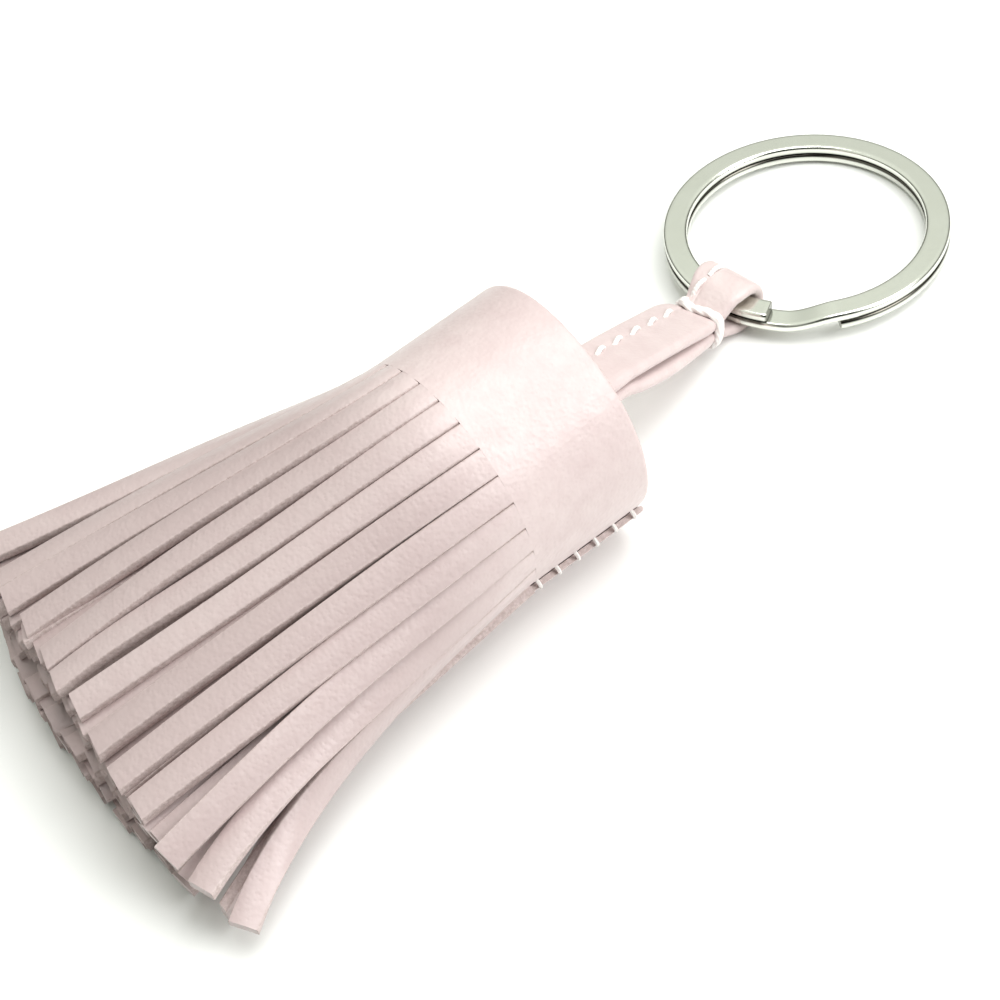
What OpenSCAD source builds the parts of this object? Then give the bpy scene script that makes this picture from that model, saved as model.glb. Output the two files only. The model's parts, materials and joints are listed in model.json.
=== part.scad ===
// Leather tassel key ring, lying on its side: a rolled and slit leather sheet,
// a stitched strap that comes out of the roll, and a flat split ring in its loop.
// Millimetres. +X runs from the fringe to the ring, +Z is up, the table is z = 0.

/* [Split ring] */
// Outer diameter of the split ring
ring_od = 33; // [25:0.5:38]
// Radial width of the flat wire
wire_w = 2.8; // [2:0.1:3.5]
// Thickness of one turn of the wire
wire_t = 1.1; // [0.8:0.05:1.4]
// Play between the two turns
turn_gap = 0.06; // [0.04:0.01:0.2]
// Tilt of the ring, whose near side is lifted by the leather loop
ring_tilt = 3; // [0:0.5:10]

/* [Strap and loop] */
// Width of the strap
strap_w = 7.6; // [6:0.1:9]
// Thickness of one leg, two plies of thin leather
leg_t = 1.7; // [1.2:0.1:2.2]
// Gap between the upper and the lower leg
leg_gap = 0.3; // [0.3:0.1:1]
// Thickness of the leather in the loop
loop_t = 1.2; // [1:0.05:1.6]
// Turn of the loop and ring to the left, seen from above
loop_yaw = 7; // [0:1:20]

/* [Tassel] */
// Diameter of the rolled head at its outer edge
head_d = 28.2; // [22:0.2:32]
// Length of the uncut band at the top of the roll
band_l = 14.8; // [10:0.2:20]
// Thickness of the leather sheet
sheet_t = 1.2; // [0.8:0.1:1.5]
// Length of the cut strips
fringe_l = 45; // [35:1:60]
// Full width of the fanned tips
tip_w = 58; // [40:1:64]
// Height of the pressed tips
tip_h = 12.5; // [8:0.5:16]
// Sideways offset of the tips from the axis of the roll
tip_shift = 8; // [0:1:12]

/* [Hidden] */
$fn = 96;

play = 0.35;                           // kept between bodies that move
ring_r = ring_od / 2;
ring_h = 2 * wire_t + turn_gap;
head_r = head_d / 2;
loop_u = 2.6;                          // from the pinch to the wire's outer edge
ring_u = loop_u + ring_r;              // from the pinch to the ring's centre
ring_c = [42.7, 1.8, ring_h / 2 + ring_r * sin(ring_tilt)];
pinch = ring_c - ring_u * [cos(ring_tilt) * cos(loop_yaw), cos(ring_tilt) * sin(loop_yaw), -sin(ring_tilt)];

face_x = 0.5;                          // top face of the roll
slit_x = face_x - band_l;              // where the cuts of the fringe end
axis_y = -8;                           // the roll's own axis
axis_z = head_r - 0.85 * sheet_t;
root = [face_x + 2.6, axis_y + 1.1, axis_z];   // where the strap bends out of the roll
strap_run = pinch - root;
strap_l = norm(strap_run);
strap_pitch = asin(-strap_run[2] / strap_l);
strap_dir = atan2(strap_run[1], strap_run[0]);
strap_h = 2 * leg_t + leg_gap;
neck_r = 1.5;                          // half thickness of the strap where it bends
knuckle_r = 1.8;                       // half thickness of the pinched leather

seam_a = 222;                          // outer edge of the rolled sheet, from +Y by way of +Z
sway_x = slit_x + 4;                   // the fringe bends about this line
cup_r = norm([4, head_r]);
tip_x = slit_x - fringe_l;

LEATHER = [0.90, 0.80, 0.79];
THREAD = [0.96, 0.95, 0.93];
NICKEL = [0.80, 0.81, 0.78];

// Frames: each one draws its children in its own place
module at_roll() translate([0, axis_y, axis_z]) rotate([90, 0, 90]) children();
module at_strap() translate(root) rotate([0, strap_pitch, strap_dir]) children();
module at_loop() translate(pinch) rotate([0, ring_tilt, loop_yaw]) children();
module at_ring() translate(ring_c) rotate([0, ring_tilt, loop_yaw]) children();

module slab(w, t, r) {
    // A flat strip's section with rounded edges
    square([w - 2 * r, t], center = true);
    square([w, t - 2 * r + 0.001], center = true);
    for (x = [-1, 1], y = [-1, 1])
        translate([x * (w / 2 - r), y * (t / 2 - r)]) circle(r, $fn = 32);
}

// --- Rolled head -----------------------------------------------------------
function turn_r(a, r0) = r0 + sheet_t * a / 360;

module wrap_section() {
    // One turn of the sheet, its outer edge standing proud of the turn below
    steps = 60;
    outer = [for (i = [0 : steps]) let (a = 360 * i / steps)
        turn_r(a, head_r - sheet_t) * [cos(seam_a + a), sin(seam_a + a)]];
    inner = [for (i = [steps : -1 : 0]) let (a = 360 * i / steps)
        turn_r(a, head_r - 2 * sheet_t + 0.02) * [cos(seam_a + a), sin(seam_a + a)]];
    polygon(concat(outer, inner));
}

module roll_section(gap) {
    // The turns inside the outer one, as one spiral outline
    steps = 60;
    polygon([for (i = [0 : steps]) let (a = 360 * i / steps)
        (turn_r(a, head_r - 2 * sheet_t) - gap) * [cos(seam_a + a), sin(seam_a + a)]]);
}

module head_wrap() color(LEATHER)
    at_roll() translate([0, 0, slit_x]) linear_extrude(band_l) wrap_section();

module head_roll() color(LEATHER) difference() {
    union() {
        at_roll() translate([0, 0, slit_x]) linear_extrude(band_l - 0.4) roll_section(0.03);
        // The roll goes on between the roots of the strips
        intersection() {
            translate([sway_x, axis_y, axis_z]) sphere(cup_r - 0.02);
            at_roll() translate([0, 0, slit_x - 14]) cylinder(h = 14.5, r = head_r - 3);
        }
    }
    // Lines between the turns on the top face
    at_roll() for (r = [head_r - 3.6 : -sheet_t : 5.2])
        translate([0, 0, face_x - 1.2]) difference() {
            cylinder(h = 3, r = r + 0.12);
            translate([0, 0, -1]) cylinder(h = 5, r = r - 0.12);
        }
    // Room for the strap's ends
    at_roll() translate([1.1, 0, face_x - 11]) linear_extrude(20) slab(strap_w + 0.1, 2 * neck_r + 0.1, 0.8);
}

module strap_tails() color(LEATHER) {
    // Both ends of the strap, pressed together where they leave the roll
    difference() {
        at_roll() translate([1.1, 0, face_x - 10.9]) linear_extrude(16) slab(strap_w, 2 * neck_r, 0.8);
        translate(root) rotate([0, 0, strap_dir]) translate([0, -10, -10]) cube(20);
    }
    translate(root) rotate([90, 0, strap_dir]) cylinder(h = strap_w, r = neck_r, center = true);
}

module seam_thread() color(THREAD) for (i = [0 : 5])
    // Whip stitches over the edge of the outer turn
    at_roll() rotate(seam_a) translate([head_r - 0.35, 0, face_x - 1.4 - i * 2.45])
        rotate([90, 0, 0]) rotate([0, 18, 0]) translate([0, 0, -1.1]) cylinder(h = 2.2, r = 0.32, $fn = 24);

// --- Fringe ----------------------------------------------------------------
module wedge(root_w, root_z, end_w, end_z) intersection() {
    // Widens in plan and falls in height from the cuts to the tips
    linear_extrude(60) polygon([[slit_x + 1, axis_y - root_w], [slit_x + 1, axis_y + root_w],
        [tip_x, axis_y + tip_shift + end_w], [tip_x, axis_y + tip_shift - end_w]]);
    translate([0, 60, 0]) rotate([90, 0, 0]) linear_extrude(140)
        polygon([[slit_x + 1, 0], [slit_x + 1, root_z], [tip_x, end_z], [tip_x, 0]]);
}

module fringe() color(LEATHER) difference() {
    intersection() {
        union() {
            wedge(head_r + 0.5, head_r + 7, tip_w / 2, tip_h * 0.55);
            wedge(head_r - 1.9, 2 * head_r - 2.5, tip_w / 2 - 6, tip_h * 0.8);
            wedge(head_r - 5, 2 * head_r, tip_w / 2 - 13, tip_h);
        }
        // Round at the cuts, as the roll is
        translate([slit_x, axis_y, axis_z]) rotate([0, -90, atan2(-tip_shift, fringe_l)])
            translate([0, 0, -1]) cylinder(h = 60, r1 = head_r - 0.7, r2 = head_r + 24);
    }
    // Clear of the roll as the fringe sways
    translate([sway_x, axis_y, axis_z]) sphere(cup_r + play);
    // Cuts between the strips
    for (t = [-5 : 5]) let (a = atan2(tip_shift + t * (tip_w - 7) / 11 - t * 2.3, fringe_l))
        translate([slit_x, axis_y + t * 2.3, tip_h * 0.45]) rotate(180 - a)
            translate([0, -0.15, 0]) cube([fringe_l * 1.3, 0.3, 40]);
}

// --- Strap -----------------------------------------------------------------
module strap_leg(s) difference() {
    at_strap() translate([1.7, 0, s * (leg_t + leg_gap) / 2]) rotate([90, 0, 90])
        linear_extrude(strap_l - 3.4) slab(strap_w, leg_t, leg_t / 2 - 0.01);
    at_strap() rotate([90, 0, 0]) cylinder(h = 20, r = neck_r + play, center = true);
    // The end is hollowed to clear the loop's knuckle
    at_loop() rotate([90, 0, 0]) cylinder(h = 20, r = knuckle_r + play, center = true);
}

module strap_upper() color(LEATHER) strap_leg(1);
module strap_lower() color(LEATHER) strap_leg(-1);

module edge_thread() color(THREAD)
    // Running stitches along the left edge, on the outer face of each leg
    at_strap() for (i = [0 : 7], s = [-1, 1])
        translate([2.2 + i * 2.15, strap_w / 2 - 1.7, s * (strap_h / 2 - 0.1)])
            rotate([0, 90, -8]) cylinder(h = 1.5, r = 0.3, $fn = 20);

module pinch_thread() color(THREAD)
    // Two turns of thick thread round both legs just behind the loop
    at_strap() for (x = [strap_l - 4.4, strap_l - 3.4])
        translate([x, 0, 0]) rotate([90, 0, 90]) linear_extrude(0.7) difference() {
            slab(strap_w + 1.3, strap_h + 1.3, 1.2);
            slab(strap_w + 0.04, strap_h + 0.04, 0.5);
        }

// --- Loop ------------------------------------------------------------------
function arc(x, y, r, from, to, n = 10) =
    [for (i = [0 : n]) let (a = from + (to - from) * i / n) [x + r * cos(a), y + r * sin(a)]];

module loop_section() let (h = 2.9 + 2 * loop_t, r = 1.7, end = 6.3 + loop_t) difference() {
    // Knuckle at the pinch, then the leather round the wire
    polygon(concat(arc(0, 0, knuckle_r, 42, 318, 30), [[3.5, -h / 2]],
        arc(end - r, r - h / 2, r, -90, 0), arc(end - r, h / 2 - r, r, 0, 90), [[3.5, h / 2]]));
    translate([4.35, 0]) square([3.9, 2.9], center = true);
}

module loop_leather() color(LEATHER)
    at_loop() rotate([90, 0, 0]) translate([0, 0, -strap_w / 2]) linear_extrude(strap_w) loop_section();

module loop_thread() color(THREAD)
    // The edge stitches go on over the loop
    at_loop() for (i = [0 : 1])
        translate([2.9 + i * 1.7, strap_w / 2 - 1.7, 2.55])
            rotate([0, 90, -8]) cylinder(h = 1.3, r = 0.3, $fn = 20);

// --- Split ring ------------------------------------------------------------
ramp_a = 210;                          // the wire climbs between these two angles
ramp_b = 236;

module turn(from, to) rotate_extrude(angle = to - from, start = from, $fn = 180)
    translate([ring_r - wire_w, 0]) square([wire_w, wire_t]);

module split_ring() color(NICKEL) at_ring() {
    low = -ring_h / 2;
    high = turn_gap / 2;
    // Lower turn, from its cut end under the climb round to the climb's foot
    translate([0, 0, low]) turn(ramp_b + 1 - 360, ramp_a);
    // Upper turn, from the climb's head round to its cut end beside the loop
    translate([0, 0, high]) turn(ramp_b, ramp_a - 6 + 360);
    // Climb from the lower level to the upper one
    intersection() {
        translate([0, 0, low]) rotate_extrude(angle = ramp_b - ramp_a, start = ramp_a, $fn = 180)
            translate([ring_r - wire_w, 0]) square([wire_w, ring_h]);
        rotate((ramp_a + ramp_b) / 2) translate([ring_r + 4, 0, 0]) rotate([0, -90, 0]) linear_extrude(12)
            polygon([[low, -8], [low, -3.4], [high, 3.05], [high, 8], [high + wire_t, 8],
                [high + wire_t, 3.05], [low + wire_t, -3.4], [low + wire_t, -8]]);
    }
}

head_wrap();
head_roll();
strap_tails();
seam_thread();
fringe();
strap_upper();
strap_lower();
edge_thread();
pinch_thread();
loop_leather();
loop_thread();
split_ring();
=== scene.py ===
"""Pale pink leather tassel on a flat split key ring, lying on a white table."""

import json
from math import atan2, cos, exp, pi, radians, sin, sqrt, tau

import bpy
import numpy as np
from mathutils import Euler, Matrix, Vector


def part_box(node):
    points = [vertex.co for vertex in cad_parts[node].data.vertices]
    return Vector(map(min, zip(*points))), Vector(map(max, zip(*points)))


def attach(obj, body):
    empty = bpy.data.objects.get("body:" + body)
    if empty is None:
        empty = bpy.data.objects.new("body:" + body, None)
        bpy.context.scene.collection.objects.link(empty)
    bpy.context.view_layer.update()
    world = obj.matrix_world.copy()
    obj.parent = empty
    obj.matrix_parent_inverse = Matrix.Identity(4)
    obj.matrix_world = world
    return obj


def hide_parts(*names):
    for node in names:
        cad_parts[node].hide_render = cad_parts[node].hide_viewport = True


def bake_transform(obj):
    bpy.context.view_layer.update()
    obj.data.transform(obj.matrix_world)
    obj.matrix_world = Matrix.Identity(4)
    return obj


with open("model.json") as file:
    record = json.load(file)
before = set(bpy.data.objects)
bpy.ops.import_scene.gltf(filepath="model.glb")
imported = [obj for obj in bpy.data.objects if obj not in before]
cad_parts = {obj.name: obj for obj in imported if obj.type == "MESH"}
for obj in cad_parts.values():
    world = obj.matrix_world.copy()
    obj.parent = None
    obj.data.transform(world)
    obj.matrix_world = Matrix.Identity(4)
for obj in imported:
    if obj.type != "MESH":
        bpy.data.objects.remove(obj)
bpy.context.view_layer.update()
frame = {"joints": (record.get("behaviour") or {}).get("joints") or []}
joints = {joint["name"]: joint for joint in frame["joints"]}
mm = 0.001


# --- Table, camera and light -------------------------------------------------
# A plain white table under big soft lights, bright enough that it washes out.
# The camera stands close over the fringe and is held a little crooked.
def node_adder(tree):
    """A function that adds a node to this tree. Each of its inputs is a socket to link or a value."""

    def add(kind, inputs=(), **settings):
        made = tree.nodes.new(kind)
        for setting, value in settings.items():
            setattr(made, setting, value)
        for socket, value in dict(inputs).items():
            if isinstance(value, bpy.types.NodeSocket):
                tree.links.new(value, made.inputs[socket])
            else:
                made.inputs[socket].default_value = value
        return made

    return add


def shader(name):
    """A new material with its node tree, its Principled shader and a function that adds a node."""
    material = bpy.data.materials.new(name)
    material.use_nodes = True
    tree = material.node_tree
    return material, tree, tree.nodes["Principled BSDF"], node_adder(tree)


def mix(add, factor, a, b):
    """A colour between a and b."""
    made = add("ShaderNodeMix", {0: factor, 6: a, 7: b}, data_type="RGBA")
    return made.outputs[2]


def ramp(add, value, low, high, to_low=0.0, to_high=1.0):
    """Value taken from low..high to to_low..to_high, and held inside."""
    made = add("ShaderNodeMapRange", {0: value, 1: low, 2: high, 3: to_low, 4: to_high})
    return made.outputs[0]


def noise(add, scale, detail=3.0, rough=0.5):
    """Noise fixed to the object. Scale is in waves a metre."""
    place = add("ShaderNodeTexCoord").outputs["Object"]
    inputs = {"Vector": place, "Scale": scale, "Detail": detail, "Roughness": rough}
    return add("ShaderNodeTexNoise", inputs).outputs[0]


table_side, table_z = 4.0, -0.00005
bpy.ops.mesh.primitive_plane_add(size=table_side, location=(0, 0, table_z))
table = bpy.context.object
table.name = "table_top"
table_paint, tree, principled, add = shader("white table")
table_white, table_bright = (0.93, 0.94, 0.925, 1), (0.96, 0.965, 0.955, 1)
shade = ramp(add, noise(add, 9.0, 2.0), 0.3, 0.7)
tree.links.new(mix(add, shade, table_white, table_bright), principled.inputs["Base Color"])
principled.inputs["Roughness"].default_value = 0.42
table.data.materials.append(table_paint)

camera_at = (-0.07165, -0.13034, 0.16263)
camera_turn, camera_dip, camera_roll = radians(-26.83), radians(48.71), radians(-14.80)
camera = bpy.data.objects.new("camera", bpy.data.cameras.new("camera"))
camera.data.lens, camera.data.sensor_width = 72, 36
camera.data.clip_start = 0.005
aim = Euler((0, 0, camera_turn)).to_matrix() @ Euler((pi / 2 - camera_dip, 0, 0)).to_matrix()
camera.rotation_euler = (aim @ Euler((0, 0, camera_roll)).to_matrix()).to_euler()
camera.location = camera_at
bpy.context.collection.objects.link(camera)
bpy.context.scene.camera = camera
bpy.context.scene.view_settings.view_transform = "Standard"

world = bpy.data.worlds.new("white room")
world.use_nodes = True
add = node_adder(world.node_tree)
background = world.node_tree.nodes["Background"]
ray = add("ShaderNodeTexCoord").outputs["Generated"]
walls = add("ShaderNodeValToRGB", {0: add("ShaderNodeSeparateXYZ", {0: ray}).outputs[2]})
floor_end, sky_end = walls.color_ramp.elements
floor_end.position, floor_end.color = 0.16, (0.05, 0.05, 0.045, 1)
sky_end.position, sky_end.color = 0.66, (0.93, 0.96, 0.88, 1)
# Somebody stands behind the camera, who darkens that side of the reflections
behind_camera = (-0.32, -0.60, 0.735)
towards = add("ShaderNodeVectorMath", {0: ray, 1: behind_camera}, operation="DOT_PRODUCT")
figure = ramp(add, towards.outputs["Value"], 0.78, 0.90, 1.0, 0.06)
dimmed = add("ShaderNodeVectorMath", {0: walls.outputs[0], "Scale": figure}, operation="SCALE")
seen_directly = add("ShaderNodeLightPath").outputs["Is Camera Ray"]
backdrop = mix(add, seen_directly, dimmed.outputs[0], (0.93, 0.94, 0.92, 1))
world.node_tree.links.new(backdrop, background.inputs[0])
background.inputs[1].default_value = 1.0
bpy.context.scene.world = world


def soft_light(name, place, aim_at, side, watts):
    """A square white lamp at a place, turned towards another."""
    light = bpy.data.lights.new(name, "AREA")
    light.shape, light.size, light.energy = "SQUARE", side, watts
    lamp = bpy.data.objects.new(name, light)
    lamp.location = place
    direction = np.array(aim_at) - np.array(place)
    yaw, flat = atan2(direction[1], direction[0]), sqrt(direction[0] ** 2 + direction[1] ** 2)
    lamp.rotation_euler = (pi / 2 - atan2(-direction[2], flat), 0, yaw - pi / 2)
    bpy.context.collection.objects.link(lamp)


soft_light("ceiling panel", (0.14, -0.06, 0.52), aim_at=(0, 0, 0), side=0.40, watts=2.2)
soft_light("window", (0.24, -0.42, 0.34), aim_at=(0, 0, 0.01), side=0.30, watts=2.0)


# --- Rolled leather band -----------------------------------------------------
# The uncut side of one long leather sheet, rolled up tight round the ends of the strap.
# Its outer edge stands one thickness proud of the turn below, and its top face shows the spiral.
sharp_from = radians(50)


def mesh_piece(name, points, faces, material, **values):
    """An object made of points in millimetres. Each extra value is kept on the points by its name."""
    data = bpy.data.meshes.new(name)
    data.from_pydata([tuple(p) for p in np.asarray(points, float) * mm], [], [tuple(f) for f in faces])
    for value_name, numbers in values.items():
        kept = data.attributes.new(value_name, "FLOAT", "POINT")
        kept.data.foreach_set("value", np.asarray(numbers, np.float32).ravel())
    data.materials.append(material)
    data.polygons.foreach_set("use_smooth", [True] * len(data.polygons))
    data.update()
    data.set_sharp_from_angle(angle=sharp_from)
    made = bpy.data.objects.new(name, data)
    bpy.context.collection.objects.link(made)
    return made


def skin(sections):
    """Faces round a row of closed sections, with both ends capped."""
    rows, around = len(sections), len(sections[0])
    faces = []
    for first in range(0, (rows - 1) * around, around):
        for k in range(around):
            after = (k + 1) % around
            faces.append((first + k, first + after, first + around + after, first + around + k))
    faces.append(tuple(range(around - 1, -1, -1)))
    faces.append(tuple((rows - 1) * around + k for k in range(around)))
    return faces


def lengths_along(line):
    """How far along the line each of its points is, from 0."""
    return np.concatenate([[0], np.cumsum(np.linalg.norm(np.diff(line, axis=0), axis=1))])


def directions_along(line):
    """The unit direction of the line at each of its points."""
    run = np.gradient(line, axis=0)
    return run / np.linalg.norm(run, axis=1)[:, None]


def outward(made):
    """Turns the whole piece's faces over if its volume comes out negative."""
    data = made.data
    data.calc_loop_triangles()
    co = np.array([v.co for v in data.vertices])
    tri = np.array([t.vertices for t in data.loop_triangles])
    a, b, c = co[tri[:, 0]], co[tri[:, 1]], co[tri[:, 2]]
    if np.einsum("ij,ij->i", a, np.cross(b, c)).sum() < 0:
        data.flip_normals()
    return made


pink = (0.62, 0.508, 0.502, 1)
pink_deep = (0.53, 0.405, 0.405, 1)
pink_pale = (0.67, 0.565, 0.553, 1)
# A shaded copy of the pink, painted on the strips as shade
strip_painted_shade = (0.455, 0.358, 0.352, 1)
cut_edge = (0.46, 0.365, 0.345, 1)


def leather(name, edge_from, tint=False, grain=2300.0):
    """Smooth pearly leather: soft cloudy colour and fine pores. It is a dry fibrous cut where the piece's
    edge value is above edge_from, and if asked it is darker by a value kept on its points, which is painted
    shade."""
    material, tree, principled, add = shader(name)
    cloud = ramp(add, noise(add, 55.0, 3.0, 0.55), 0.3, 0.7)
    colour = mix(add, cloud, pink, pink_pale)
    mottle = ramp(add, noise(add, 420.0, 4.0, 0.6), 0.35, 0.75, 0.0, 0.45)
    colour = mix(add, mottle, colour, pink_deep)
    # Painted shade: the strips come from the same sheet as the band but are darkened towards a shaded pink
    if tint:
        own = add("ShaderNodeAttribute", attribute_name="tint").outputs["Fac"]
        colour = mix(add, ramp(add, own, 0.0, 1.0, 0.0, 0.85), colour, strip_painted_shade)
    pores = add("ShaderNodeTexVoronoi", {"Scale": grain, "Randomness": 1.0}, feature="SMOOTH_F1")
    place = add("ShaderNodeTexCoord").outputs["Object"]
    tree.links.new(place, pores.inputs["Vector"])
    wrinkles = noise(add, 1000.0, 3.0)
    height = add("ShaderNodeMath", {0: pores.outputs["Distance"], 1: wrinkles}, operation="ADD")
    roughness = ramp(add, noise(add, 900.0, 2.0), 0.3, 0.7, 0.36, 0.50)
    across = add("ShaderNodeAttribute", attribute_name="edge").outputs["Fac"]
    fibres = noise(add, 2600.0, 4.0, 0.7)
    cut = ramp(add, across, edge_from, edge_from + 0.12)
    raw = mix(add, ramp(add, fibres, 0.35, 0.7), cut_edge, pink_pale)
    colour = mix(add, cut, colour, raw)
    roughness = add("ShaderNodeMix", {0: cut, 2: roughness, 3: 0.85}).outputs[0]
    tree.links.new(colour, principled.inputs["Base Color"])
    tree.links.new(roughness, principled.inputs["Roughness"])
    principled.inputs["Coat Weight"].default_value = 0.22
    principled.inputs["Coat Roughness"].default_value = 0.28
    principled.inputs["Sheen Weight"].default_value = 0.12
    principled.inputs["Sheen Roughness"].default_value = 0.4
    bump = add("ShaderNodeBump", {"Strength": 0.85, "Distance": 0.00005, "Height": height.outputs[0]})
    tree.links.new(bump.outputs["Normal"], principled.inputs["Normal"])
    return material


sheet_t = 1.2
seam_at = radians(215.5)
slit_x, face_x = (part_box("head_wrap")[0][0] / mm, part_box("head_wrap")[1][0] / mm)
axis_y, axis_z = (joints["fringe_sway"]["pos_m"][i] / mm for i in (1, 2))
axis_y, axis_z = axis_y + 0.25, axis_z + 0.36
outer_r = 14.42
root = np.array(joints["strap_bend"]["pos_m"]) / mm
core_shift = root[1:] - (axis_y, axis_z)
core_half, snug_at, snug_over = 2.3, 1.5, 8.5
rest_below, rest_depth, rest_rise = 6, 6.93, 0.98
pared_most, pared_fades = 0.45, 3.2


def roll_point(turned, depth=0.0):
    """A point of the spiral's outer face in the roll's own Y and Z. turned is 0 at the outer edge and grows
    inwards, depth is below that face. The innermost turns hug the flat ends of the strap, and the
    underside is a little flattened where it lies on the table."""
    radius = outer_r - sheet_t * turned / tau - depth
    angle = seam_at + turned
    snug = min(1.0, max(0.0, 1 - (radius - snug_at) / snug_over))
    flat = core_half * snug * cos(angle) / sqrt(cos(angle) ** 2 + 0.05)
    y, z = (axis_y, axis_z) + core_shift * snug + (flat + radius * cos(angle), radius * sin(angle))
    flattened = rest_rise * (max(0.0, rest_below - z) / rest_depth) ** 2
    return np.array([y, z + flattened])


def pared_off(turned):
    """How much thinner the sheet is pared towards its outer end, in millimetres."""
    return pared_most * exp(-pared_fades * turned)


band_leather = leather("rolled leather", edge_from=0.55)
inner_r, band_t = 2.9, 1.16
inner_turned = (outer_r - inner_r) / sheet_t * tau
flare_from, flare_share = 8, 0.016
steps = 660
points, edge = [], []
for i in range(steps + 1):
    turned = inner_turned * (1 - i / steps)
    pared = pared_off(turned)
    wave = 0.10 * sin(turned * 2.3) + 0.07 * sin(turned * 5.1 + 1)
    top = face_x - 0.12 + wave * 0.5
    taper = 0.18 if i in (0, steps) else 0.0
    # Along the outer face, over the top edge and back along the inner face. Each row is the depth, the
    # place along the roll, and how far the leather is cut there.
    for depth, x, cut in (
        (0, slit_x, 0), (0, slit_x + 0.3, 0), (0, slit_x + 5, 0), (0, slit_x + 10, 0), (0, top - 0.45, 0),
        (0.02, top - 0.24, 0.2), (0.12, top - 0.06, 1), (0.30, top, 1), (0.86, top, 1),
        (1.04, top - 0.06, 1), (1.15, top - 0.25, 0.6), (band_t, slit_x + 5, 0.6), (band_t, slit_x, 1),
    ):
        depth = band_t / 2 + (depth - band_t / 2) * (1 - taper)
        y, z = roll_point(turned, pared + depth * (1 - pared / sheet_t))
        flare = flare_share * max(0.0, (x - slit_x) / (face_x - slit_x)) * (z > flare_from)
        points.append((x, y, z + (z - flare_from) * flare))
        edge.append(max(cut, 1.0 if taper else 0.0))
band_faces = skin(np.reshape(points, (steps + 1, -1, 3)))
band = outward(mesh_piece("rolled_band", points, band_faces, band_leather, edge=edge))
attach(band, "roll")
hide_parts("head_wrap", "head_roll")


# --- Fringe ------------------------------------------------------------------
# The other side of the same sheet, slit into narrow strips that part as they leave the roll.
# They lie pressed into a low fan, turn by turn, each a little bent and twisted in its own way.
def geometry_tree(name, *inputs):
    """A Geometry Nodes tree with named inputs, its input node and a function that adds a node."""
    tree = bpy.data.node_groups.new(name, "GeometryNodeTree")
    tree.is_modifier = True
    for label, kind in inputs:
        tree.interface.new_socket(label, in_out="INPUT", socket_type="NodeSocket" + kind)
    tree.interface.new_socket("Made", in_out="OUTPUT", socket_type="NodeSocketGeometry")
    add = node_adder(tree)
    return tree, add("NodeGroupInput").outputs, add


def grown(name, tree, lines, material, sizes, **values):
    """The tree run on lines, a list of rows of points in millimetres, and turned into a plain mesh.
    Each extra value has one number or one direction for every point."""
    data = bpy.data.meshes.new(name + "_lines")
    points = np.concatenate(lines)
    starts = np.cumsum([0] + [len(line) for line in lines[:-1]])
    links = [(s + k, s + k + 1) for s, line in zip(starts, lines) for k in range(len(line) - 1)]
    data.from_pydata([tuple(p) for p in points * mm], links, [])
    for value_name, numbers in values.items():
        numbers = np.concatenate([np.asarray(n, np.float32) for n in numbers])
        kind, field = ("FLOAT_VECTOR", "vector") if numbers.ndim == 2 else ("FLOAT", "value")
        data.attributes.new(value_name, kind, "POINT").data.foreach_set(field, numbers.ravel())
    seed = bpy.data.objects.new(name + "_lines", data)
    bpy.context.collection.objects.link(seed)
    modifier = seed.modifiers.new(name, "NODES")
    modifier.node_group = tree
    by_name = {s.name: s.identifier for s in tree.interface.items_tree if s.in_out == "INPUT"}
    for label, value in dict(sizes, Finish=material).items():
        modifier[by_name[label]] = value
    ready = bpy.context.evaluated_depsgraph_get()
    result = bpy.data.meshes.new_from_object(seed.evaluated_get(ready), depsgraph=ready)
    seed.modifiers.clear()
    bpy.data.objects.remove(seed)
    made = bpy.data.objects.new(name, result)
    result.name = name
    result.set_sharp_from_angle(angle=sharp_from)
    bpy.context.collection.objects.link(made)
    return outward(made)


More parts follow.
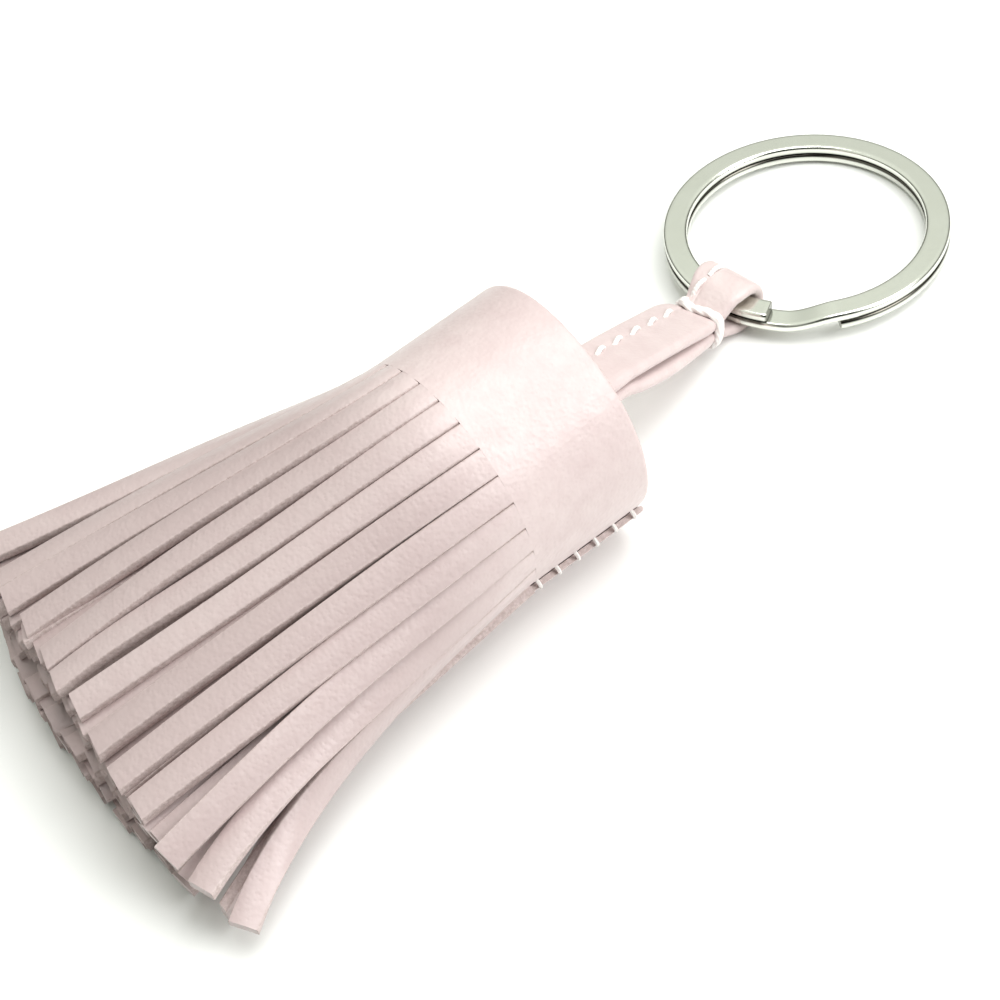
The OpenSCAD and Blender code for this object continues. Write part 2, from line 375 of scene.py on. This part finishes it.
def strip_tree():
    """Sweeps a flat strip with softened edges along each line, turned the way that its points' facing
    says."""
    tree, given, add = geometry_tree(
        "Leather strips", ("Lines", "Geometry"), ("Width", "Float"), ("Thickness", "Float"),
        ("Edge softening", "Float"), ("Crown", "Float"), ("Finish", "Material"),
    )
    facing = add("GeometryNodeInputNamedAttribute", {"Name": "facing"}, data_type="FLOAT_VECTOR")
    line = add("GeometryNodeMeshToCurve", {"Mesh": given["Lines"]}).outputs[0]
    turned = add("GeometryNodeSetCurveNormal", {"Curve": line}, mode="FREE")
    tree.links.new(facing.outputs[0], turned.inputs["Normal"])
    sizes = {"Width": given["Thickness"], "Height": given["Width"]}
    outline = add("GeometryNodeCurvePrimitiveQuadrilateral", sizes)
    softened = add("GeometryNodeFilletCurve", {"Curve": outline.outputs[0], "Count": 2}, mode="POLY")
    tree.links.new(given["Edge softening"], softened.inputs["Radius"])
    divided = add("GeometryNodeSubdivideCurve", {"Curve": softened.outputs[0], "Cuts": 1})
    # How far a point of the outline is towards a cut edge: 0 in the middle, 1 at the edge
    place = add("ShaderNodeSeparateXYZ", {0: add("GeometryNodeInputPosition").outputs[0]})
    share = add("ShaderNodeMath", {0: place.outputs[1], 1: given["Width"]}, operation="DIVIDE")
    share = add("ShaderNodeMath", {0: share.outputs[0]}, operation="ABSOLUTE")
    share = add("ShaderNodeMath", {0: share.outputs[0], 1: 2.0}, operation="MULTIPLY")
    marked = add("GeometryNodeStoreNamedAttribute", {"Geometry": divided.outputs[0], "Name": "edge"})
    marked.data_type, marked.domain = "FLOAT", "POINT"
    tree.links.new(share.outputs[0], marked.inputs["Value"])
    # The strip keeps the roll's roundness across its width
    fall = add("ShaderNodeMath", {0: share.outputs[0], 1: share.outputs[0]}, operation="MULTIPLY")
    fall = add("ShaderNodeMath", {0: fall.outputs[0], 1: given["Crown"]}, operation="MULTIPLY")
    fall = add("ShaderNodeMath", {0: fall.outputs[0], 1: -1.0}, operation="MULTIPLY")
    arched = add("GeometryNodeSetPosition", {"Geometry": marked.outputs[0]})
    tree.links.new(add("ShaderNodeCombineXYZ", {0: fall.outputs[0]}).outputs[0], arched.inputs["Offset"])
    swept = add("GeometryNodeCurveToMesh", {"Curve": turned.outputs[0], "Profile Curve": arched.outputs[0]})
    swept.inputs["Fill Caps"].default_value = True
    smooth = add("GeometryNodeSetShadeSmooth", {"Geometry": swept.outputs[0]})
    finished = add("GeometryNodeSetMaterial", {"Geometry": smooth.outputs[0], "Material": given["Finish"]})
    real = add("GeometryNodeRealizeInstances", {"Geometry": finished.outputs[0]})
    add("NodeGroupOutput", {0: real.outputs[0]})
    return tree


pitch = 3.14
strip_w, strip_t = 3.02, 1.16
strip_l, strip_points = 46.2, 27
fan_half, fan_half_h = 27.0, 5.75
fan_narrows, fan_lowers = 2.7, 1.02
fan_y, fan_z = axis_y + 9.2, 6.3
fan_twist = radians(15)
turn_count = 6.3
stray_reach = 6.7
near_side = radians(195)
table_gap = 0.2
luck = np.random.default_rng(11)


def fan_ring(level, count=400):
    """The closed line that one turn's tips lie along, level turns in, and the share of it before each
    point. It spreads towards the table on the near side."""
    inside = max(0.0, level - 0.6)
    half, half_h = fan_half - fan_narrows * inside, max(0.2, fan_half_h - fan_lowers * inside)
    t = np.linspace(0, tau, count + 1)
    up = np.sin(t)
    z = fan_z + half_h * np.sign(up) * np.abs(up) ** 0.6
    skirt = 0.5 * (8.5 - z) * np.maximum(0, -np.cos(t)) ** 2
    ring = np.stack([fan_y + half * np.cos(t) - skirt, z], 1)
    length = lengths_along(ring)
    return ring, length / length[-1]


def on_ring(level, share):
    """A point of that line and the direction away from its inside."""
    ring, along = fan_ring(level)

    def at(s):
        return np.array([np.interp(s % 1.0, along, ring[:, k]) for k in (0, 1)])

    run = at(share + 0.012) - at(share - 0.012)
    out = np.array([run[1], -run[0]]) / np.linalg.norm(run)
    return at(share), out


# Strips of the outer turn that lie out of line: their place round the roll in degrees, then sideways
# and upward push in millimetres and extra turn in degrees, all at the tip. The last that fits counts.
STRAYS = (
    (44, 1.0, 0.6, 24), (31, -0.5, 0.8, -16), (171, -0.9, -0.3, 16), (184, -2.0, -0.6, -45),
    (197, -5.3, -1.2, -104), (210, -4.6, -0.2, -60), (118, 0.5, 0.4, 12), (60, 0.8, 0.6, 20),
)

lines, facings, tints = [], [], []
turned = 0.5 * pitch / outer_r
while turned < turn_count * tau:
    level = turned / tau
    angle = seam_at + turned
    start = roll_point(turned, strip_t / 2 + pared_off(turned) * 0.8)
    start_out = np.array([cos(angle), sin(angle)])
    end, end_out = on_ring(level, (angle - fan_twist) / tau)
    loose = 0.35 if level < 1 else 0.6
    end = end + luck.normal(0, 1, 2) * (loose, loose * 0.35)
    twist = radians(luck.normal(0, 7 if level < 1 else 11))
    sway, rise = luck.normal(0, 0.32), luck.normal(0, 0.22)
    phase = luck.uniform(0, tau)
    push = np.zeros(2)
    for place, side, lift, turn in STRAYS:
        off = (np.degrees(angle) - place + 180) % 360 - 180
        if level < 1 and abs(off) < stray_reach:
            push, twist = np.array([side, lift]), radians(turn)
    # Strips leave the roll at once and spread early, but on the near side they run straighter first
    near = max(0.0, cos(angle - near_side)) ** 2
    start_turn = atan2(start_out[1], start_out[0])
    swing = (atan2(end_out[1], end_out[0]) - start_turn + pi) % tau - pi
    line, facing = [], []
    for s in np.linspace(0, 1, strip_points):
        gone = (1 - near) * (s - s * (1 - s) ** 7) + near * (0.62 * s + 0.38 * s**4)
        bow = sin(pi * s) * 0.5
        y, z = start + (end - start) * gone
        wobble = sin(2.2 * pi * s + phase) * s
        y, z = y + sway * wobble + push[0] * s**4, z + rise * wobble + push[1] * s**3 + bow * start_out[1]
        turn = start_turn + swing * (1 - (1 - s) ** 1.7) + twist * s**2.2
        half_deep = abs(cos(turn)) * strip_w / 2 + abs(sin(turn)) * strip_t / 2
        lowest = table_gap + half_deep * min(1, 6 * s)
        line.append((slit_x + 0.04 - strip_l * s, y, max(z, lowest)))
        facing.append((0.0, cos(turn), sin(turn)))
    line = np.array(line)
    along = lengths_along(line)
    reach = min(along[-1], strip_l - 1.5 * near - 0.7 * max(0, -sin(angle)) + luck.normal(0, 0.2))
    spaced = np.linspace(0, reach, strip_points)
    line = np.stack([np.interp(spaced, along, line[:, k]) for k in range(3)], 1)
    lines.append(line)
    facings.append(facing)
    # Each strip's painted shade: a random share, none where it leaves the band and full from a quarter of
    # the way along
    tints.append(luck.uniform(0.5, 1) * np.minimum(1, np.linspace(0, 4, strip_points)))
    turned += pitch / (outer_r - sheet_t * turned / tau)

strip_leather = leather("strip leather", edge_from=0.86, tint=True)
fringe = grown(
    "fringe_strips", strip_tree(), lines, strip_leather,
    {"Width": strip_w * mm, "Thickness": strip_t * mm, "Edge softening": 0.16 * mm, "Crown": 0.085 * mm},
    facing=facings, tint=tints,
)
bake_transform(fringe)
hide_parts("fringe")


# --- Strap -------------------------------------------------------------------
# One strip of the same leather, folded lengthwise to two plies and sewn along its left edge.
# It comes up out of the roll, goes round the ring's wire and comes back under itself.
pinch = np.array(joints["loop_bend"]["pos_m"]) / mm
strap_along = (pinch - root) / np.linalg.norm(pinch - root)
strap_left = np.array(joints["strap_bend"]["axis"])
strap_up = np.cross(strap_along, strap_left)
strap_len = np.linalg.norm(pinch - root)
loop_left = np.array(joints["loop_bend"]["axis"])
loop_up = np.array(joints["ring_turn"]["axis"])
loop_along = np.cross(loop_left, loop_up)
strap_half, strap_t = 3.8, 1.44
stitch_in = 1.4


def in_strap(x, y, z):
    """A place along, to the left of and above the strap, from where it leaves the roll."""
    return root + x * strap_along + y * strap_left + z * strap_up


def in_loop(x, y, z):
    """A place along, to the left of and above the loop, from the pinch."""
    return pinch + x * loop_along + y * loop_left + z * loop_up


def eased(rows, count):
    """A smooth line through rows of numbers, evenly spaced by its first three."""
    rows = np.array(rows, float)
    padded = np.vstack([2 * rows[0] - rows[1], rows, 2 * rows[-1] - rows[-2]])
    fine = []
    for a, b, c, d in zip(padded, padded[1:], padded[2:], padded[3:]):
        bend, twist = 2 * a - 5 * b + 4 * c - d, 3 * b - a - 3 * c + d
        for t in np.linspace(0, 1, 24, endpoint=False):
            fine.append(0.5 * (2 * b + (c - a) * t + bend * t**2 + twist * t**3))
    fine = np.array(fine + [rows[-1]])
    along = lengths_along(fine[:, :3])
    spaced = np.linspace(0, along[-1], count)
    return np.stack([np.interp(spaced, along, column) for column in fine.T], 1)


def strap_section(thick):
    """Outline across the strap: a round fold on the right, two cut plies on the left, and a sewn groove
    between. Each row is across, out, and 1 where the leather is cut."""
    half = thick / 2
    round_fold = np.linspace(1.5 * pi, 0.5 * pi, 9)
    fold = [(half * cos(a) - strap_half + half, half * sin(a), 0) for a in round_fold]
    groove = [stitch_in + k for k in (-0.5, -0.15, 0, 0.15, 0.5)]
    across = np.array([-2.6, -1.6, -0.4, 0.5, *groove, 2.6, 3.2, 3.55])
    crown = 0.05 * (1 - (across / strap_half) ** 2) - 0.09 * np.exp(-(((across - stitch_in) / 0.2) ** 2))
    top = [(a, half + c, 0) for a, c in zip(across, crown)]
    lip = [(3.72, half - 0.08, 0.6), (3.8, half - 0.26, 1), (3.79, 0.12, 1), (3.62, 0.0, 1)]
    right_way = fold + top + lip
    return np.array(right_way + [(a, -h, c) for a, h, c in (lip[:3][::-1] + top[::-1])])


def strap_rows(path):
    """The strap's section swept along a path, and how far each point is cut. The path's rows are a place,
    the leftward direction, the share of the full thickness, and how far the left and the right side are
    drawn in."""
    points, edge = [], []
    for row, ahead in zip(path, directions_along(path[:, :3])):
        left = row[3:6] - ahead * (row[3:6] @ ahead)
        left /= np.linalg.norm(left)
        out = np.cross(ahead, left)
        for across, up, cut in strap_section(row[6] * strap_t):
            drawn_in = row[7] if across > 0 else row[8]
            points.append(row[:3] + left * across * (1 - drawn_in / strap_half) + out * up)
            edge.append(cut)
    return np.array(points).reshape(len(path), -1, 3), edge


# The strap's course, leg by leg, each row as strap_rows takes it. Each leg lies half a thickness
# above or below the strap's middle, and both end under the thread at the neck.
tail = np.array([0.0, 1.0, 0.0])
neck_left, neck_right = 1.9, 0.4
leg_end, leg_narrows = strap_len - 1.9, strap_len - 3.4


def in_roll(x, z):
    """A row of the course inside the roll, where the strap lies level."""
    return (*(root + (x, 0, z)), *tail, 1, 0, 0)


upper = [
    in_roll(-9.5, 0.76), in_roll(-5.5, 0.76), in_roll(-3.0, 0.76),
    (*in_strap(0.1, 0, 0.40), *(tail + strap_left) / 2, 1, 0, 0),
    *(
        (*in_strap(x, 0, 0.74 + lift), *strap_left, 1, 0, 0)
        for x, lift in ((4, 0.0), (7, 0.10), (12, 0.14), (17, 0.08))
    ),
    (*in_strap(leg_narrows, 0, 0.74), *strap_left, 0.99, 0, 0),
    (*in_strap(leg_end, 0, 0.71), *strap_left, 0.96, neck_left * 0.22, neck_right * 0.5),
]
lower = [
    (*in_strap(leg_end, 0, -0.70), *strap_left, 0.95, neck_left * 0.22, neck_right * 0.5),
    (*in_strap(leg_narrows, -0.1, -0.76), *strap_left, 0.97, 0, 0),
    *(
        (*in_strap(x, -side, -0.74 - drop), *(strap_left + 0.2 * drop * strap_up), 1, 0, 0)
        for x, drop, side in ((17, 0.12, 0.4), (12, 0.22, 0.65), (7, 0.18, 0.55), (4, 0.05, 0.25))
    ),
    (*in_strap(0.1, 0, -1.15), *(tail + strap_left) / 2, 1, 0, 0),
    in_roll(-3.0, -0.76), in_roll(-5.5, -0.76), in_roll(-9.5, -0.76),
]
strap_leather = leather("strap leather", edge_from=0.5, grain=2500.0)
points, faces, edge = [], [], []
for course in (eased(upper, 96), eased(lower, 96)):
    rows, cut = strap_rows(course)
    faces += [tuple(k + len(points) for k in face) for face in skin(rows)]
    points += list(rows.reshape(-1, 3))
    edge += cut
legs = outward(mesh_piece("strap_legs", points, faces, strap_leather, edge=edge))
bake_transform(legs)
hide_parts("strap_upper", "strap_lower", "strap_tails")


# --- Loop --------------------------------------------------------------------
# The middle of the strap, bent round the flat wire of the ring. It starts and ends under the
# thread that pinches both legs together.
eye_at, eye_long, eye_high, eye_low = 4.2, 2.68, 2.30, 2.08
course = [
    (*in_strap(leg_narrows, 0, 0.74), *strap_left, 0.93, 0.1, 0.1),
    (*in_strap(leg_end, 0, 0.70), *strap_left, 0.93, neck_left * 0.24, neck_right * 0.6),
    (*in_loop(-0.2, 0, 0.74), *loop_left, 0.92, neck_left, neck_right),
]
for a in np.linspace(radians(118), radians(-118), 13):
    x, z = (np.sign(v) * abs(v) ** 0.78 for v in (cos(a), sin(a)))
    near_neck = max(0.0, -x)
    spot = in_loop(eye_at + eye_long * x, 0, (eye_high if z > 0 else eye_low) * z)
    course.append((*spot, *loop_left, 0.86, neck_left * (0.15 + 0.7 * near_neck), neck_right * near_neck))
course += [
    (*in_loop(-0.2, 0, -0.74), *loop_left, 0.92, neck_left, neck_right),
    (*in_strap(leg_end, 0, -0.70), *strap_left, 0.93, neck_left * 0.24, neck_right * 0.6),
    (*in_strap(leg_narrows, 0, -0.76), *strap_left, 0.93, 0.1, 0.1),
]
loop_path = eased(course, 120)
rows, edge = strap_rows(loop_path)
loop = outward(mesh_piece("strap_loop", rows.reshape(-1, 3), skin(rows), strap_leather, edge=edge))
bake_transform(loop)
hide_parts("loop_leather")


# --- Threads -----------------------------------------------------------------
# White waxed thread: running stitches along the strap's left edge and over the loop, whip stitches
# over the outer edge of the roll, and a thicker doubled thread that crosses over the strap's pinch.
def thread_finish():
    """White thread with the lay of its plies."""
    material, tree, principled, add = shader("white thread")
    place = add("ShaderNodeTexCoord").outputs["Object"]
    lay = add("ShaderNodeTexWave", {"Vector": place, "Scale": 900.0, "Distortion": 2.0, "Detail": 1.0})
    colour = mix(add, ramp(add, lay.outputs["Fac"], 0.2, 0.9), (0.80, 0.74, 0.72, 1), (0.93, 0.91, 0.89, 1))
    tree.links.new(colour, principled.inputs["Base Color"])
    principled.inputs["Roughness"].default_value = 0.6
    principled.inputs["Sheen Weight"].default_value = 0.25
    bump = add("ShaderNodeBump", {"Strength": 0.6, "Distance": 0.00005, "Height": lay.outputs["Fac"]})
    tree.links.new(bump.outputs["Normal"], principled.inputs["Normal"])
    return material


def stitch_tree():
    """Sets one short bowed stitch on every point, its ends sunk in the leather."""
    tree, given, add = geometry_tree(
        "Stitches", ("Lines", "Geometry"), ("Length", "Float"), ("Rise", "Float"), ("Sink", "Float"),
        ("Thread radius", "Float"), ("Finish", "Material"),
    )

    def scaled(value, by):
        return add("ShaderNodeMath", {0: value, 1: by}, operation="MULTIPLY").outputs[0]

    low = scaled(given["Sink"], -1.0)
    start = add("ShaderNodeCombineXYZ", {0: scaled(given["Length"], -0.5), 2: low}).outputs[0]
    end = add("ShaderNodeCombineXYZ", {0: scaled(given["Length"], 0.5), 2: low}).outputs[0]
    top = add("ShaderNodeCombineXYZ", {2: given["Rise"]}).outputs[0]
    course = {"Resolution": 8, "Start": start, "Middle": top, "End": end}
    bow = add("GeometryNodeCurveQuadraticBezier", course)
    outline = add("GeometryNodeCurvePrimitiveCircle", {"Resolution": 8, "Radius": given["Thread radius"]})
    stitch = add("GeometryNodeCurveToMesh", {"Curve": bow.outputs[0], "Profile Curve": outline.outputs[0]})
    stitch.inputs["Fill Caps"].default_value = True
    up = add("GeometryNodeInputNamedAttribute", {"Name": "up"}, data_type="FLOAT_VECTOR")
    run = add("GeometryNodeInputNamedAttribute", {"Name": "run"}, data_type="FLOAT_VECTOR")
    turn = add("FunctionNodeAxesToRotation", primary_axis="Z", secondary_axis="X")
    tree.links.new(up.outputs[0], turn.inputs[0])
    tree.links.new(run.outputs[0], turn.inputs[1])
    spots = add("GeometryNodeInstanceOnPoints", {"Points": given["Lines"], "Instance": stitch.outputs[0]})
    tree.links.new(turn.outputs[0], spots.inputs["Rotation"])
    real = add("GeometryNodeRealizeInstances", {"Geometry": spots.outputs[0]})
    smooth = add("GeometryNodeSetShadeSmooth", {"Geometry": real.outputs[0]})
    finished = add("GeometryNodeSetMaterial", {"Geometry": smooth.outputs[0], "Material": given["Finish"]})
    add("NodeGroupOutput", {0: finished.outputs[0]})
    return tree


thread = thread_finish()
stitches = stitch_tree()
edge_first, stitch_step = 2.4, 3.45
loop_first, loop_step = 5.9, 2.76
whip_first, whip_step = 1.5, 2.5
sewn = {"Length": 2.35 * mm, "Rise": 0.66 * mm, "Sink": 0.24 * mm, "Thread radius": 0.30 * mm}


def sewn_row(name, spots, sizes, body, node):
    """Stitches at spots, each a place, an outward and a running direction in millimetres, on one body.
    They replace the CAD's node."""
    places, ups, runs = (np.array([spot[k] for spot in spots], float) for k in range(3))
    made = grown(name, stitches, [p[None] for p in places], thread, sizes, up=[ups], run=[runs])
    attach(made, body)
    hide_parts(node)


spots = []
for course, side in ((eased(upper, 300), 1), (eased(lower, 300), -1)):
    along_strap = (course[:, :3] - root) @ strap_along
    for k in range(6):
        row = course[np.abs(along_strap - (edge_first + k * stitch_step)).argmin()]
        out = strap_up * side
        slant = strap_along + 0.24 * strap_left * side
        spots.append((row[:3] + row[3:6] * stitch_in + out * strap_t / 2, out, slant))
sewn_row("edge_stitches", spots, sewn, "strap", "edge_thread")

spots = []
loop_run = directions_along(loop_path[:, :3])
length_on = lengths_along(loop_path[:, :3])
for k in range(3):
    i = np.abs(length_on - (loop_first + k * loop_step)).argmin()
    run = loop_run[i]
    out = np.cross(run, loop_left)
    spots.append((loop_path[i, :3] + loop_left * stitch_in + out * (0.43 * strap_t), out, run))
sewn_row("loop_stitches", spots, sewn, "loop", "loop_thread")

below, above = roll_point(tau - 0.085), roll_point(0.055, 0.4)
rise = np.array([0, *(above - below)])
out = np.cross((1, 0, 0), rise)
out *= np.sign(out[1:] @ (cos(seam_at), sin(seam_at)))
slant = rise + np.array([0.35, 0, 0])
middle = (below + above) / 2
spots = [((face_x - whip_first - k * whip_step, *middle), out, slant) for k in range(6)]
whip = {"Length": 1.9 * mm, "Rise": 1.0 * mm, "Sink": 0.3 * mm, "Thread radius": 0.21 * mm}
sewn_row("seam_stitches", spots, whip, "roll", "seam_thread")


ply_lay = 1.7


def twisted_thread(path, radius):
    """A two-ply thread laid along a path in millimetres, as a row of sections."""
    run = directions_along(path)
    side = np.cross(run[0], strap_up + 0.01)
    sections = []
    for p, t, s in zip(path, run, lengths_along(path)):
        side = side - t * (side @ t)
        side /= np.linalg.norm(side)
        other = np.cross(t, side)
        turn = s / ply_lay * pi
        around = np.linspace(0, tau, 16, endpoint=False)
        radii = [radius * (0.78 + 0.22 * abs(cos(a - turn))) for a in around]
        sections.append([p + r * (cos(a) * side + sin(a) * other) for a, r in zip(around, radii)])
    return np.array(sections)


# Each half goes from a hole in the upper leg over its own side of the strap to the lower leg's hole
hole = strap_len - 1.2
sunk = 0.24
over, under = 1.46 + sunk, -1.48 - sunk
pinch_r, pinch_apart = 0.44, 0.22
points, faces = [], []
for edge_side, drawn_in, lead in ((1, neck_left * 0.85, 1.1), (-1, neck_right * 0.8, -0.2)):
    lip = edge_side * (strap_half - drawn_in + sunk)
    mid, far = hole + lead * 0.6, hole + lead
    course = [
        in_strap(hole, edge_side * 0.1, 0.9), in_strap(hole, edge_side * 0.25, over - 0.1),
        in_strap(mid, edge_side * 1.7, over + 0.12), in_strap(far, lip - edge_side * 0.7, over),
        in_strap(far, lip, 1.05), in_strap(far, lip + edge_side * 0.05, 0), in_strap(far, lip, -1.05),
        in_strap(far, lip - edge_side * 0.7, under), in_strap(mid, edge_side * 1.7, under - 0.1),
        in_strap(hole, edge_side * 0.25, under + 0.1), in_strap(hole, edge_side * 0.1, -0.9),
    ]
    for shift in (-pinch_apart, pinch_apart):
        rows = twisted_thread(eased([c + shift * strap_along for c in course], 90), pinch_r)
        faces += [tuple(k + len(points) for k in face) for face in skin(rows)]
        points += list(rows.reshape(-1, 3))
crossed = outward(mesh_piece("pinch_stitches", points, faces, thread))
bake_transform(crossed)
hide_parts("pinch_thread")


# --- Split ring --------------------------------------------------------------
# One flat spring-steel wire coiled twice and nickel plated. It climbs from the lower turn to the
# upper one beside the loop, where the two cut ends are.
ring_at = np.array(joints["ring_turn"]["pos_m"]) / mm
ring_r, wire_w, wire_t, turn_gap = 16.5, 2.8, 1.1, 0.06
climb_from, climb_to = 210, 233
lower_end, upper_end = climb_to - 360, climb_from - 6 + 360
end_shrink, bared = 0.93, 8


def nickel_finish():
    """Polished nickel. Painted shade makes the groove between the turns near black, and the cut ends are
    darkened too.
    """
    material, tree, principled, add = shader("polished nickel")
    wear = noise(add, 260.0, 4.0, 0.65)
    nickel, nickel_pale = (0.77, 0.785, 0.715, 1), (0.80, 0.815, 0.75, 1)
    colour = mix(add, ramp(add, wear, 0.3, 0.7), nickel, nickel_pale)
    groove = add("ShaderNodeAttribute", attribute_name="groove").outputs["Fac"]
    # Near black where the groove value says: painted shade between the turns, and darkened cut ends
    colour = mix(add, groove, colour, (0.11, 0.105, 0.09, 1))
    tree.links.new(colour, principled.inputs["Base Color"])
    roughness = ramp(add, noise(add, 1200.0, 3.0, 0.6), 0.35, 0.75, 0.13, 0.24)
    tree.links.new(roughness, principled.inputs["Roughness"])
    principled.inputs["Metallic"].default_value = 1.0
    bump = add("ShaderNodeBump", {"Strength": 0.25, "Distance": 0.00002, "Height": noise(add, 500.0, 2.0)})
    tree.links.new(bump.outputs["Normal"], principled.inputs["Normal"])
    return material


def wire_outline(shrink):
    """The flat wire's section with its rolled round sides: rows of inward distance and height."""
    r, w, t = 0.40, wire_w * shrink, wire_t * shrink

    def corner(x, z, start):
        turns = [radians(start + a) for a in range(0, 91, 15)]
        return [(x + r * cos(a), z + r * sin(a)) for a in turns]

    rows = corner(r, r, 180) + [(w * 0.22, 0), (w * 0.78, 0)] + corner(w - r, r, 270)
    rows += corner(w - r, t - r, 0) + [(w * 0.78, t), (w * 0.22, t)] + corner(r, t - r, 90)
    return [(x + wire_w * (1 - shrink) / 2, z + wire_t * (1 - shrink) / 2) for x, z in rows]


rows, groove = [], []
angles = [lower_end, *np.arange(lower_end + 0.6, upper_end - 0.6, 2.0), upper_end - 0.6, upper_end]
for angle in angles:
    climbed = min(1.0, max(0.0, (angle - climb_from) / (climb_to - climb_from)))
    climbed = climbed * climbed * (3 - 2 * climbed)
    level = (wire_t + turn_gap) * (climbed - 0.5) - wire_t / 2
    shrink = end_shrink if angle in (lower_end, upper_end) else 1.0
    spoke = cos(radians(angle)) * loop_along + sin(radians(angle)) * loop_left
    rows.append([ring_at + (ring_r - x) * spoke + (level + z) * loop_up for x, z in wire_outline(shrink)])
    # The other turn is above the lower one, below the upper one, and absent along the climb
    other_turn = 1 if angle < climb_from - bared else (-1 if angle > climb_to + bared else 0)
    # Painted shade: the wire's sides that face the other turn are marked to go near black, and the cut ends
    # mostly so
    for x, z in wire_outline(shrink):
        towards_other = (other_turn * (z - wire_t / 2) - 0.10) / 0.26
        between = abs(other_turn) * min(1.0, max(0.0, towards_other))
        groove.append(max(between, 0.8 if shrink < 1 else 0.0))
rows = np.array(rows)
ring = outward(mesh_piece("key_ring", rows.reshape(-1, 3), skin(rows), nickel_finish(), groove=groove))
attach(ring, "ring")
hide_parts("split_ring")
